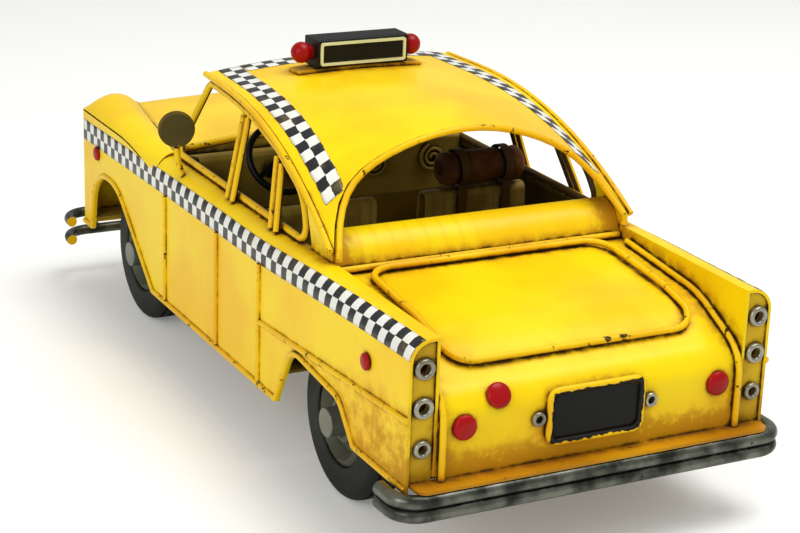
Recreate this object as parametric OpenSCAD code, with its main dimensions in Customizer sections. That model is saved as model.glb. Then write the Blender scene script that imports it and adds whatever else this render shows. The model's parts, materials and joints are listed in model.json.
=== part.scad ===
// Toy taxi of folded tin sheet with soldered wire beads, open windows and rolling wheels.
// X points to the nose, Y to the driver's side and Z up, in millimetres.
// The origin is on the ground, in the middle of the car's length and width.

/* [Body] */
// Length of the tin body, from the tail sheet to the nose sheet
body_len = 234; // [220:1:250]
// Width over the flat sides
body_w = 104; // [98:1:112]
// Thickness of the tin sheet
sheet = 0.8; // [0.6:0.1:1]
// Height of the doors' bottom edge
sill_z = 18; // [16:0.5:20]
// Height of the shoulder under the windows
belt_z = 62.5; // [61:0.5:65]
// Radius of the rolled shoulder
shoulder_r = 6; // [4:0.5:7]
// Height of the floor sheet's underside
floor_z = 26; // [25:0.5:29]
// Radius of the bead wire soldered along the edges and seams
bead_r = 0.9; // [0.6:0.1:1]

/* [Cabin] */
// Height of the roof's side edges at the front
roof_z = 90.3; // [86:0.1:94]
// How far the roof's side edges stand inside the body's sides, at the front
roof_inset = 12.5; // [10:0.5:14]
// The same inset at the foot of the rear pillars
rear_inset = 7.2; // [7:0.1:8]
// Rise of the roof's middle over its side edges, at the front
roof_crown = 2.9; // [2:0.1:5]
// The same rise at the foot of the rear pillars
rear_crown = 20; // [15:0.5:22]
// Radius of the rods that frame the side windows
rod_r = 1.1; // [0.8:0.1:1.2]
// Radius of the rolled sheet under the rear window
rear_cowl_r = 9; // [7:0.5:9.5]

/* [Tail] */
// Height of the boot's front edge
boot_z = 59; // [57:0.5:60]
// Width of each tail fin
fin_w = 8; // [7:0.5:9]
// Radius of the round eyelets in the tail fins
eyelet_r = 2.7; // [2.2:0.1:3]
// Radius of the red tail reflectors
reflector_r = 3.2; // [2.6:0.1:3.6]
// Width of the bare number plate
plate_w = 24; // [20:1:26]
// Height of the bare number plate
plate_h = 11; // [9:0.5:13]
// Reach of the rear bumper's middle behind the tail sheet
rear_bumper_reach = 4.6; // [4:0.2:7]

/* [Nose] */
// Height of the seam between the fenders and the sides
fender_seam_z = 61.3; // [60:0.1:62]
// Rise of the fenders over that seam, near the nose
fender_rise = 5.5; // [4:0.5:7]
// Width of the grille
grille_w = 54; // [44:1:58]
// Height of the grille
grille_h = 15; // [12:0.5:18]
// Radius of the headlamps
headlamp_r = 8; // [6:0.5:9]
// Reach of the front bumper's middle in front of the nose sheet
front_bumper_reach = 13.4; // [11:0.2:15]

/* [Wheels] */
// Distance between the axles
wheelbase = 147.8; // [140:0.2:152]
// Distance from the tail sheet to the rear axle
rear_overhang = 50.9; // [47:0.1:54]
// Radius of the tyres
tyre_r = 21.5; // [20:0.25:22.5]
// Width of the tyres
tyre_w = 11; // [9:0.5:12]
// Distance between the middles of a pair of tyres
track = 80; // [76:0.5:82]
// Radius of the steel rims
rim_r = 12.6; // [11:0.2:14]
// Radius of the hub caps
hub_cap_r = 4; // [3.4:0.1:5]
// Diameter of the steel axles
axle_d = 3; // [2.5:0.1:4]

/* [Roof sign] */
// Length of the roof sign's box, across the car
sign_l = 29.2; // [24:0.2:34]
// Depth of the box, along the car
sign_d = 9; // [7:0.2:11]
// Height of the box
sign_h = 8.4; // [7:0.2:10]
// Radius of the red lamps at its ends
sign_lamp_r = 3.1; // [2.4:0.1:3.6]

/* [Fittings] */
// Width of each front seat
seat_w = 33; // [28:0.5:34]
// Height of the front seats' backs above the ground
seat_top_z = 62; // [58:0.5:64]
// Radius of the steering wheel, to the middle of its rim
steering_r = 10.5; // [8:0.5:11]
// Radius of the bed roll on the passenger's seat
roll_r = 5.2; // [4:0.2:6]
// Length of the bed roll
roll_l = 27; // [22:0.5:30]
// Radius of the door mirror
mirror_r = 5.4; // [4.4:0.2:6]

/* [Hidden] */
$fn = 48;
// Gap left between soldered pieces, overrun of cuts and segments of bends
solder_gap = 0.1;
overrun = 2;
bend_steps = 6;
wire_sides = 8;

// Places along the body: the cabin's as shares of the wheelbase from the rear axle,
// and the tail's as shares of the rear overhang from the tail sheet
body_setback = 4.3;
tail_x = -body_len / 2 - body_setback;
nose_x = tail_x + body_len;
rear_axle_x = tail_x + rear_overhang;
front_axle_x = rear_axle_x + wheelbase;
function station(share) = rear_axle_x + share * wheelbase;
function tail_station(share) = tail_x + share * rear_overhang;
door_shares = [0.7306, 0.4561, 0.2517];
cowl_share = 0.7876;
roof_front_share = 0.7077;
roof_bend_share = 0.5929;
arch_top_share = 0.1369;
pillar_foot_share = 0.0413;
boot_front_share = 0.057;
boot_knee_share = 0.3793;
lid_rear_share = 0.1729;
cowl_x = station(cowl_share);
boot_front_x = station(boot_front_share);

// Places across the body
side_y = body_w / 2;
fin_y = side_y - fin_w;
frame_y = fin_y + rod_r + solder_gap;

// Axle height and the lower ends of nose and tail
axle_z = tyre_r;
nose_low_drop = 4;
tail_low_drop = 5.6;
nose_low_z = sill_z + nose_low_drop;
tail_low_z = sill_z + tail_low_drop;
floor_top_z = floor_z + sheet;

// Small maths
function mix(a, b, t) = a + (b - a) * t;
function clamp(t) = max(0, min(1, t));
function unit(v) = v / norm(v);
function reversed(list) = [for (i = [len(list) - 1:-1:0]) list[i]];
function pick(value, i) = is_list(value) ? value[i] : value;

// Arc that rounds the corner b between a and c
function corner(a, b, c, r) = r == 0 ? [b] :
    let (u = unit(a - b), w = unit(c - b), half = acos(u * w) / 2,
         middle = b + unit(u + w) * r / sin(half), turn = 180 - 2 * half,
         from = b + u * r / tan(half) - middle, to = b + w * r / tan(half) - middle)
    [for (k = [0:bend_steps])
        middle + (from * sin(turn * (1 - k / bend_steps)) + to * sin(turn * k / bend_steps)) / sin(turn)];

// Bent wire or sheet line: a list of corners, each rounded by its radius
function bent(path, r) = [for (i = [0:len(path) - 1])
    each (i == 0 || i == len(path) - 1 ? [path[i]] : corner(path[i - 1], path[i], path[i + 1], pick(r, i)))];
function bent_loop(path, r) = let (n = len(path)) [for (i = [0:n - 1])
    each corner(path[(i + n - 1) % n], path[i], path[(i + 1) % n], pick(r, i))];

// Line set off to its left by d, with mitred corners
function left_of(v) = [-v[1], v[0]];
function beside(path, d) = let (n = len(path) - 1) [for (i = [0:n])
    let (before = left_of(unit(path[max(i, 1)] - path[max(i, 1) - 1])),
         after = left_of(unit(path[min(i, n - 1) + 1] - path[min(i, n - 1)])),
         between = unit(before + after))
    path[i] + between * d / (between * after)];
function strip(path, d) = concat(path, reversed(beside(path, d)));

// Path with extra points, so that it can follow a curved surface
function dense(path, n) = [for (i = [0:len(path) - 2]) for (k = [0:n - 1]) mix(path[i], path[i + 1], k / n)];

// Extrusions of a drawing: (y, z) along X, and (x, z) along Y
module along_x(x0, x1) {
    translate([x0, 0, 0]) rotate([90, 0, 90]) linear_extrude(x1 - x0) children();
}
module along_y(y0, y1) {
    translate([0, y1, 0]) rotate([90, 0, 0]) linear_extrude(y1 - y0) children();
}
module both_sides() {
    children();
    mirror([0, 1, 0]) children();
}

// Section swept along a path; up is the direction of the section's first axis
function around(r, a) = r * [cos(a), sin(a)];
function circle_section(r) = [for (k = [0:wire_sides - 1]) around(r, 360 * k / wire_sides)];
function half_section(r) = [for (k = [0:bend_steps]) around(r, 180 * k / bend_steps - 90)];
module sweep(path, section, up, closed = false) {
    n = len(path);
    m = len(section);
    function at(i) = path[closed ? (i + n) % n : max(0, min(n - 1, i))];
    rings = [for (i = [0:n - 1])
        let (t = unit(at(i + 1) - at(i - 1)), e1 = unit(up - (up * t) * t), e2 = cross(t, e1))
        for (s = section) path[i] + s[0] * e1 + s[1] * e2];
    sides = [for (i = [0:n - (closed ? 1 : 2)]) for (j = [0:m - 1])
        let (next = (i + 1) % n, turn = (j + 1) % m,
             a = i * m + j, b = i * m + turn, c = next * m + turn, d = next * m + j)
        each [[a, d, c], [a, c, b]]];
    ends = closed ? [] : [[for (j = [0:m - 1]) j], [for (j = [m - 1:-1:0]) (n - 1) * m + j]];
    polyhedron(rings, concat(sides, ends));
}
module wire(path, r, up, closed = false) {
    sweep(path, circle_section(r), up, closed);
}

// Sheet with a curved outer face: a grid of points, rows along X and columns along Y
function facing(g, i, j) = let (rows = len(g) - 1, cols = len(g[0]) - 1)
    unit(cross(g[min(i + 1, rows)][j] - g[max(i - 1, 0)][j], g[i][min(j + 1, cols)] - g[i][max(j - 1, 0)]));
function raised(g, d) = [for (i = [0:len(g) - 1])
    [for (j = [0:len(g[0]) - 1]) g[i][j] + d * facing(g, i, j)]];
module curved_sheet(outer, inner) {
    rows = len(outer);
    cols = len(outer[0]);
    function o(i, j) = i * cols + j;
    function n(i, j) = rows * cols + i * cols + j;
    function quad(a, b, c, d) = [[a, b, c], [a, c, d]];
    faces = concat(
        [for (i = [0:rows - 2]) for (j = [0:cols - 2])
            each concat(quad(o(i, j), o(i, j + 1), o(i + 1, j + 1), o(i + 1, j)),
                        quad(n(i, j), n(i + 1, j), n(i + 1, j + 1), n(i, j + 1)))],
        [for (j = [0:cols - 2])
            each concat(quad(o(0, j), n(0, j), n(0, j + 1), o(0, j + 1)),
                        quad(o(rows - 1, j), o(rows - 1, j + 1), n(rows - 1, j + 1), n(rows - 1, j)))],
        [for (i = [0:rows - 2])
            each concat(quad(o(i, 0), o(i + 1, 0), n(i + 1, 0), n(i, 0)),
                        quad(o(i, cols - 1), n(i, cols - 1), n(i + 1, cols - 1), o(i + 1, cols - 1)))]);
    polyhedron(concat([for (r = outer) each r], [for (r = inner) each r]), faces);
}

// Round fittings: a flat-backed dome and an eyelet, both standing on z = 0
module dome(r, h, rim) {
    rotate_extrude() polygon(concat([[0, 0], [r, 0]],
        [for (k = [0:bend_steps]) let (a = 90 * k / bend_steps) [r * cos(a), rim + (h - rim) * sin(a)]]));
}
module eyelet(r, bore, h) {
    lip = (r - bore) / 2;
    neck = r - lip / 2;
    rotate_extrude() polygon(concat([[bore, 0], [neck, 0], [neck, h - 2 * lip], [r, h - 2 * lip]],
        [for (k = [0:bend_steps]) [bore + lip, h - lip] + around(lip, 180 * k / bend_steps)]));
}
// Turns a fitting that stands on z = 0 to stand out behind or in front
module facing_back() { rotate([0, -90, 0]) children(); }
module facing_front() { rotate([0, 90, 0]) children(); }

// Side panels: one sheet a side, with wheel arches, rolled shoulder and fin wall.
// The arch corners are shares of the tyre's radius, from the axle.
front_arch_foot_shares = [1.233, -1.344];
front_arch_shares = [[1.07, 1], [0.126, 1]];
front_arch_bend_shares = [0.6, 0.93];
rear_arch_foot_shares = [1.149, -1.047];
rear_arch_shares = [[0.698, 0.679], [-0.628, 0.553]];
rear_arch_bend_share = 0.326;
foot_r = 2;
front_axle_at = [front_axle_x, axle_z];
rear_axle_at = [rear_axle_x, axle_z];
lower_edge = bent([
    [nose_x, nose_low_z],
    [front_axle_x + front_arch_foot_shares[0] * tyre_r, nose_low_z],
    front_axle_at + tyre_r * front_arch_shares[0],
    front_axle_at + tyre_r * front_arch_shares[1],
    [front_axle_x + front_arch_foot_shares[1] * tyre_r, sill_z],
    [rear_axle_x + rear_arch_foot_shares[0] * tyre_r, sill_z],
    rear_axle_at + tyre_r * rear_arch_shares[0],
    rear_axle_at + tyre_r * rear_arch_shares[1],
    [rear_axle_x + rear_arch_foot_shares[1] * tyre_r, tail_low_z],
    [tail_x, tail_low_z]],
    [0, foot_r, tyre_r * front_arch_bend_shares[0], tyre_r * front_arch_bend_shares[1], foot_r,
     foot_r, tyre_r * rear_arch_bend_share, tyre_r * rear_arch_bend_share, foot_r, 0]);

// Boot line: the deck slopes to a knee, rolls over and drops down the tail
boot_knee_drop = 4;
boot_roll_drop = 13.5;
boot_knee_r = 30;
boot_roll_r = 9;
boot_line = bent([
    [boot_front_x, boot_z],
    [tail_station(boot_knee_share), boot_z - boot_knee_drop],
    [tail_x, boot_z - boot_roll_drop],
    [tail_x, tail_low_z]],
    [0, boot_knee_r, boot_roll_r, 0]);
deck_table = [for (p = boot_line) if (p[1] > boot_z - boot_roll_drop) p];
function deck_z(x) = lookup(x, deck_table);

fin_flange = 5;
fender_lap = 0.6;
module side_panel() {
    shoulder = bent([[side_y, 0], [side_y, belt_z], [fin_y, belt_z]], shoulder_r);
    color("gold") union() {
        intersection() {
            along_y(fin_y - overrun, side_y)
                polygon(concat(lower_edge, [[tail_x, belt_z + overrun], [nose_x, belt_z + overrun]]));
            union() {
                along_x(tail_x, cowl_x) polygon(strip(shoulder, sheet));
                along_y(side_y - sheet, side_y) polygon(concat([[nose_x, 0], [cowl_x - overrun, 0]],
                    [for (x = [cowl_x - overrun, each front_rows]) [x, side_seam_z(x) - fender_lap]]));
            }
        }
        // Inner wall of the tail fin, turned down past the edge of the boot and beside the tail
        along_y(fin_y, fin_y + sheet) union() {
            polygon(concat([for (p = boot_line) if (p[1] > tail_low_z) p - [0, sheet]],
                [[tail_x, belt_z], [boot_front_x, belt_z]]));
            translate([tail_x, floor_top_z + solder_gap])
                square([fin_flange, boot_z - boot_roll_drop - floor_top_z]);
        }
    }
}
module side_panel_left() { side_panel(); }
module side_panel_right() { mirror([0, 1, 0]) side_panel(); }

// Bead along the whole lower edge of each side
function on_side(path) = [for (p = path) [p[0], side_y, p[1]]];
module edge_beads() {
    edge = beside(lower_edge, -bead_r);
    color("gold") both_sides() sweep(on_side(edge), half_section(bead_r), [0, 1, 0]);
}

// Beads that mark the doors, and the rear wing's bead that rises to the tail
door_top_shares = [0.84, 0.855, 0.86];
wing_front_share = 0.595;
wing_rear_share = 0.68;
module door_beads() {
    low_z = sill_z + 2 * bead_r + solder_gap;
    color("gold") both_sides() {
        for (i = [0:len(door_shares) - 1]) let (x = station(door_shares[i]))
            sweep(on_side([[x, low_z], [x, belt_z * door_top_shares[i]]]), half_section(bead_r), [0, 1, 0]);
        sweep(on_side([[station(door_shares[2]) - bead_r - solder_gap, belt_z * wing_front_share],
            [tail_x, belt_z * wing_rear_share]]), half_section(bead_r), [0, 1, 0]);
    }
}

// Floor sheet, notched for the wheels
floor_notch_share = 1.14;
floor_notch_inset = 22;
floor_notch_y = side_y - floor_notch_inset;
module floor_pan() {
    half = side_y - sheet - solder_gap;
    notch = tyre_r * floor_notch_share;
    color("darkkhaki") difference() {
        translate([tail_x + sheet + solder_gap, -half, floor_z])
            cube([body_len - 2 * (sheet + solder_gap), 2 * half, sheet]);
        both_sides() for (x = [rear_axle_x, front_axle_x])
            translate([x - notch, floor_notch_y, floor_z - overrun])
                cube([2 * notch, side_y, sheet + 2 * overrun]);
    }
}

// Front surface: a low bonnet between two domed fenders, all rolled down to the nose
seam_rear_inset = 7;
seam_front_inset = 18;
bonnet_rear_rise = 2;
bonnet_front_rise = 1.2;
bonnet_rear_crown = 3.2;
bonnet_front_crown = 1.6;
fender_rear_rise = 0.2;
seam_climb_share = 0.5;
fender_power_share = 0.75;
nose_roll = 9;
front_rows = [for (k = [0:9]) mix(cowl_x, nose_x - nose_roll, k / 10), each
    [for (k = [0:6]) nose_x - nose_roll + nose_roll * sin(90 * k / 6)]];
function front_share(x) = clamp((x - cowl_x) / (nose_x - cowl_x));
function seam_y(x) = side_y - mix(seam_rear_inset, seam_front_inset, front_share(x));
function seam_z(x) = fender_seam_z + mix(bonnet_rear_rise, bonnet_front_rise, front_share(x));
function bonnet_z(x, y) = seam_z(x)
    + mix(bonnet_rear_crown, bonnet_front_crown, front_share(x)) * (1 - pow(y / seam_y(x), 2));
function side_seam_z(x) = let (climb = clamp(front_share(x) / seam_climb_share))
    mix(belt_z - shoulder_r, fender_seam_z, sin(90 * climb));
function fender_z(x, y) = let (t = clamp((abs(y) - seam_y(x)) / (side_y - seam_y(x))))
    mix(side_seam_z(x), seam_z(x), sqrt(1 - t * t))
    + mix(fender_rear_rise, fender_rise, front_share(x)) * pow(sin(180 * t), fender_power_share);
function rolled(x, z) = let (w = clamp((x - nose_x + nose_roll) / nose_roll))
    mix(fender_seam_z, z, sqrt(1 - w * w));
seam_wire_r = 0.7;
seam_gap = seam_wire_r + 1.5 * solder_gap;
module bonnet() {
    grid = [for (x = front_rows) [for (k = [-7:7])
        let (y = k / 7 * (seam_y(x) - seam_gap)) [x, y, rolled(x, bonnet_z(x, y))]]];
    color("gold") curved_sheet(grid, raised(grid, -sheet));
}
module fender() {
    grid = [for (x = front_rows) [for (k = [0:10])
        let (y = mix(seam_y(x) + seam_gap, side_y, (1 - cos(180 * k / 10)) / 2))
        [x, y, rolled(x, fender_z(x, y))]]];
    color("gold") curved_sheet(grid, raised(grid, -sheet));
}
module fender_left() { fender(); }
module fender_right() { mirror([0, 1, 0]) fender(); }
module bonnet_seam_wires() {
    path = [for (x = front_rows) [x, seam_y(x), rolled(x, seam_z(x))]];
    color("goldenrod") both_sides() wire(path, seam_wire_r, [0, 1, 0]);
}

// Nose sheet with the grille's opening
lamp_z = 47;
lamp_inset = 13;
lamp_y = side_y - lamp_inset;
grille_corner_r = 4;
function box_corners(w, h) = [[w / 2, h / 2], [-w / 2, h / 2], [-w / 2, -h / 2], [w / 2, -h / 2]];
module rounded_box(w, h, r) { polygon(bent_loop(box_corners(w, h), r)); }
module nose_panel() {
    top = fender_seam_z - sheet - solder_gap;
    half = side_y - sheet - solder_gap;
    color("gold") along_x(nose_x - sheet, nose_x) difference() {
        translate([-half, nose_low_z]) square([2 * half, top - nose_low_z]);
        translate([0, lamp_z]) rounded_box(grille_w, grille_h, grille_corner_r);
    }
}
grille_rim = 1.6;
grille_depth = 2.4;
grille_bar = 0.9;
grille_rows = 5;
grille_columns = 9;
module grille() {
    w = grille_w - 2 * solder_gap;
    h = grille_h - 2 * solder_gap;
    color("silver") union() {
        along_x(nose_x - sheet, nose_x - sheet + grille_depth) translate([0, lamp_z]) difference() {
            rounded_box(w, h, grille_corner_r - solder_gap);
            rounded_box(w - 2 * grille_rim, h - 2 * grille_rim, grille_corner_r - grille_rim);
        }
        along_x(nose_x - sheet, nose_x - sheet + grille_depth / 2) translate([0, lamp_z]) intersection() {
            rounded_box(w - grille_rim, h - grille_rim, grille_corner_r - grille_rim);
            union() {
                for (k = [1:grille_rows]) let (z = h * (k / (grille_rows + 1) - 1 / 2))
                    translate([-w / 2, z - grille_bar / 2]) square([w, grille_bar]);
                for (k = [1:grille_columns]) let (y = w * (k / (grille_columns + 1) - 1 / 2))
                    translate([y - grille_bar / 2, -h / 2]) square([grille_bar, h]);
            }
        }
    }
}
bezel_depth = 3.6;
bezel_wall = 1.3;
lens_rim = 1;
module headlamp_bezels() {
    color("silver") both_sides() translate([nose_x + solder_gap, lamp_y, lamp_z]) facing_front()
        eyelet(headlamp_r, headlamp_r - bezel_wall, bezel_depth);
}
module headlamp_lenses() {
    color("lightgoldenrodyellow") both_sides() translate([nose_x + solder_gap, lamp_y, lamp_z]) facing_front()
        dome(headlamp_r - bezel_wall - solder_gap, bezel_depth, lens_rim);
}

// Bumper bar: a section swept across the car and round both corners, drawn as (out, up)
module bumper_sweep(reach, half, corner_r, side_run) {
    straight = half - corner_r;
    rotate([90, 0, 0]) translate([reach, 0, -straight]) linear_extrude(2 * straight) children();
    both_sides() translate([reach - corner_r, straight, 0]) {
        rotate_extrude(angle = 90) translate([corner_r, 0]) children();
        translate([-side_run, 0, 0]) rotate([90, 0, 90]) linear_extrude(side_run)
            translate([corner_r, 0]) children();
    }
}
bumper_overhang = 3.3;
bumper_half = side_y + bumper_overhang;
bumper_corner_r = 6.5;
bumper_side_run = 5;
bumper_bar_r = 1.9;
bumper_z = 21.4;
bumper_web = 1.2;
valance_z = bumper_z + 2 * bumper_bar_r - sheet / 4 + solder_gap;
module rear_bumper() {
    bar_step = 2 * bumper_bar_r - sheet / 2;
    color("dimgray") mirror([1, 0, 0]) translate([-tail_x, 0, bumper_z])
        bumper_sweep(rear_bumper_reach, bumper_half, bumper_corner_r, bumper_side_run) union() {
            for (k = [-1, 1]) translate([0, k * bar_step / 2]) circle(bumper_bar_r);
            translate([-bumper_bar_r, -bumper_bar_r]) square([bumper_web, 2 * bumper_bar_r]);
        }
}
front_bar_r = 1.7;
front_bar_step = 6.4;
front_post_inset = 11;
front_post_y = bumper_half - front_post_inset;
front_post_share = 0.8;
front_corner_r = 8;
front_side_run = 1.6;
module front_bumper() {
    color("dimgray") translate([nose_x, 0, bumper_z]) union() {
        for (z = [0, -front_bar_step]) translate([0, 0, z])
            bumper_sweep(front_bumper_reach, bumper_half, front_corner_r, front_side_run) circle(front_bar_r);
        both_sides() translate([front_bumper_reach, front_post_y, -front_bar_step])
            cylinder(r = front_bar_r * front_post_share, h = front_bar_step);
    }
}

// Bent straps that carry the front bumper, soldered to the nose
strap_w = 6;
strap_y = 26;
strap_t = 1.2;
strap_foot_h = 6;
module bumper_brackets() {
    strap_z = bumper_z + front_bar_r + solder_gap;
    color("goldenrod") both_sides() translate([nose_x + solder_gap, strap_y, strap_z]) {
        cube([front_bumper_reach - solder_gap, strap_w, strap_t]);
        cube([strap_t, strap_w, strap_foot_h]);
    }
}

// Roof surface, arched across, bent down behind and cut by the rear window's arch
roof_fall = 19.9;
roof_bend_l_share = 0.5074;
roof_bend_l = wheelbase * roof_bend_l_share;
roof_bend_power_share = 2.2;
crown_power_share = 1.7;
arch_power_share = 9;
arch_foot_inset = 1.7;
arch_foot_y = side_y - rear_inset - arch_foot_inset;
roof_front_x = station(roof_front_share);
roof_bend_x = station(roof_bend_share);
arch_top_x = station(arch_top_share);
pillar_foot_x = station(pillar_foot_share);
function roof_bend(x) = max(0, (roof_bend_x - x) / roof_bend_l);
function roof_edge_z(x) = roof_z - roof_fall * pow(roof_bend(x), roof_bend_power_share);
function roof_edge_y(x) = let (back = clamp((roof_front_x - x) / (roof_front_x - pillar_foot_x)))
    side_y - mix(roof_inset, rear_inset, back);
function crown(x) = mix(roof_crown, rear_crown, pow(clamp(roof_bend(x)), crown_power_share));
function roof_at(x, y) = [x, y, roof_edge_z(x) + crown(x) * (1 - pow(y / roof_edge_y(x), 2))];
function arch_x(y) = mix(arch_top_x, pillar_foot_x, clamp(pow(abs(y) / arch_foot_y, arch_power_share)));
roof_rows = 16;
roof_columns = 10;
function roof_row(i, share) = let (x = mix(arch_x(share * arch_foot_y), roof_front_x, i / roof_rows))
    roof_at(x, share * roof_edge_y(x));
roof_grid = [for (i = [0:roof_rows])
    [for (k = [-roof_columns:roof_columns]) roof_row(i, sin(90 * k / roof_columns))]];
module roof() {
    color("gold") curved_sheet(roof_grid, raised(roof_grid, -sheet));
}
module roof_gutters() {
    path = [for (i = [0:roof_rows]) let (x = mix(pillar_foot_x, roof_front_x, i / roof_rows))
        [x, roof_edge_y(x) + bead_r + solder_gap, roof_edge_z(x) - sheet / 2]];
    color("goldenrod") both_sides() wire(path, bead_r, [0, 1, 0]);
}

// Side window frames: one bent rod a side, from the screen pillar round to the rear pillar
rail_drop = sheet / 2 + bead_r + rod_r + 2 * solder_gap;
rail_z = belt_z + rod_r + solder_gap;
screen_foot_share = 0.7813;
rail_bend_share = 0.186;
rear_foot_share = 0.1417;
pillar_bend_r = 4;
rail_bend_r = 16;
foot_bend_r = 3;
function rail_at(x) = [x, roof_edge_z(x) - rail_drop];
frame_path = let (front = roof_front_x - 2 * rod_r, back = station(rail_bend_share)) bent_loop(concat(
    [[station(screen_foot_share), rail_z]],
    [for (k = [0:4]) rail_at(mix(front, back, k / 4))],
    [[station(rear_foot_share), rail_z]]),
    [foot_bend_r, pillar_bend_r, 0, 0, 0, rail_bend_r, foot_bend_r]);
function leaning(p) = let (rise = clamp((p[1] - rail_z) / (rail_at(p[0])[1] - rail_z)))
    [p[0], mix(frame_y, roof_edge_y(p[0]), rise), p[1]];
module window_frame() {
    color("goldenrod") wire([for (p = frame_path) leaning(p)], rod_r, [0, 1, 0], true);
}
module window_frame_left() { window_frame(); }
module window_frame_right() { mirror([0, 1, 0]) window_frame(); }

// Twin posts that part the side windows, from the shoulder over the door beads up to the rail
post_leans = [4, 8];
post_pitch = 3.6;
post_share = 0.85;
post_r = rod_r * post_share;
post_foot_out = 2;
post_foot_gap = 0.6;
module window_posts() {
    y = side_y - shoulder_r + post_foot_out;
    foot_z = belt_z - shoulder_r + sqrt(pow(shoulder_r, 2) - pow(post_foot_out, 2)) + post_foot_gap;
    color("goldenrod") both_sides() for (i = [0, 1]) for (k = [-1, 1]) {
        foot = [station(door_shares[i + 1]) + k * post_pitch / 2, y, foot_z];
        head = leaning(rail_at(foot[0] + post_leans[i]));
        along = head - foot;
        slant = abs(unit(along) * unit(leaning(rail_at(head[0] + post_pitch)) - head));
        clear = (rod_r + post_r * slant) / sqrt(1 - slant * slant) + 2 * solder_gap;
        translate(foot) rotate([0, acos(along[2] / norm(along)), atan2(along[1], along[0])])
            cylinder(r = post_r, h = norm(along) - clear);
    }
}

// Rear pillars: flat sheets between the side window's rod and the roof's edge
pillar_tip = 4;
module quarter_panels() {
    top_drop = sheet / 2 + bead_r + solder_gap;
    low_z = belt_z + solder_gap;
    bend_x = station(rail_bend_share);
    tip_x = bend_x - pillar_tip;
    rod_foot = [station(rear_foot_share), rail_z];
    rod_line = bent([rail_at(bend_x + rail_bend_r), rail_at(bend_x), rod_foot], rail_bend_r);
    rod_side = [for (p = beside(rod_line, -rod_r - solder_gap)) if (p[0] < tip_x) p];
    start_x = pillar_foot_x + bead_r;
    roof_side = [for (k = [0:6]) let (x = mix(start_x, tip_x, k / 6)) [x, roof_edge_z(x) - top_drop]];
    color("gold") both_sides() along_y(fin_y, fin_y + sheet)
        polygon(concat([[start_x, low_z]], roof_side, rod_side,
            [[rod_side[len(rod_side) - 1][0], low_z]]));
}

// Rods at the top and the foot of the open windscreen
cowl_rail_back = 1.5;
header_back = 2.5;
module windscreen_rails() {
    foot_x = cowl_x - cowl_rail_back;
    head_x = roof_front_x - header_back;
    foot_half = frame_y - rod_r - solder_gap;
    foot = [for (k = [-6:6]) let (y = foot_half * k / 6) [foot_x, y, bonnet_z(cowl_x, y) + rod_r]];
    head_half = roof_edge_y(head_x) - rod_r - solder_gap;
    under_roof = [0, 0, sheet + rod_r + solder_gap];
    head = [for (k = [-6:6]) roof_at(head_x, head_half * k / 6) - under_roof];
    color("goldenrod") {
        wire(foot, rod_r, [1, 0, 0]);
        wire(head, rod_r, [1, 0, 0]);
    }
}

// Bead round the rear window's arch, and the bead at the foot of the rolled cowl
arch_steps = 14;
bead_stand = 0.5;
module rear_window_bead() {
    edge = [for (k = [-arch_steps:arch_steps]) roof_row(0, sin(90 * k / arch_steps))];
    plan = beside([for (p = edge) [p[0], p[1]]], bead_r + bead_stand);
    arch = [for (i = [0:len(edge) - 1]) [plan[i][0], plan[i][1], edge[i][2] - sheet / 2]];
    feet = [for (i = [0, len(arch) - 1]) [arch[i][0], arch[i][1], belt_z + bead_r]];
    cowl_foot_x = boot_front_x - bead_r - solder_gap;
    color("gold") {
        wire(concat([feet[0]], arch, [feet[1]]), bead_r, unit([-1, 0, 1]));
        translate([cowl_foot_x, fin_y - bead_r, boot_z + bead_r + solder_gap]) rotate([90, 0, 0])
            cylinder(r = bead_r, h = 2 * (fin_y - bead_r));
    }
}

// Rolled sheet between the boot and the rear window
module rear_cowl() {
    roll = [for (k = [0:2 * bend_steps]) let (a = 180 - 90 * k / (2 * bend_steps))
        [boot_front_x + rear_cowl_r, boot_z + solder_gap] + rear_cowl_r * [cos(a), sin(a)]];
    color("gold") along_y(-fin_y + solder_gap, fin_y - solder_gap) polygon(strip(roll, -sheet));
}

// Boot deck and tail in one bent sheet
module boot_panel() {
    color("gold") along_y(-fin_y + solder_gap, fin_y - solder_gap) polygon(strip(boot_line, sheet));
}

// Bead round the lid's outline on the deck, and the beads beside the fins
lid_front_gap = 3;
lid_side_gap = 8;
lid_corner_r = 7;
bead_lift_share = 1.55;
edge_start_share = 0.16;
module boot_lid_bead() {
    front = boot_front_x - lid_front_gap;
    back = tail_station(lid_rear_share);
    half = fin_y - lid_side_gap;
    plan = bent_loop([[front, half], [back, half], [back, -half], [front, -half]], lid_corner_r);
    loop = dense(concat(plan, [plan[0]]), 3);
    color("gold") wire([for (p = loop) [p[0], p[1], deck_z(p[0]) + bead_lift_share * bead_r + solder_gap]],
        bead_r, [0, 0, 1], true);
}
module boot_edge_beads() {
    y = fin_y - bead_r - 2 * solder_gap;
    line = beside(boot_line, -bead_r - solder_gap);
    run = concat([mix(line[0], line[1], edge_start_share)],
        [for (i = [1:len(line) - 1]) if (line[i][1] > valance_z + sheet) line[i]],
        [[tail_x - bead_r - solder_gap, valance_z + sheet + solder_gap]]);
    color("gold") both_sides() wire([for (p = run) [p[0], y, p[1]]], bead_r, [0, 1, 0]);
}

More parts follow.
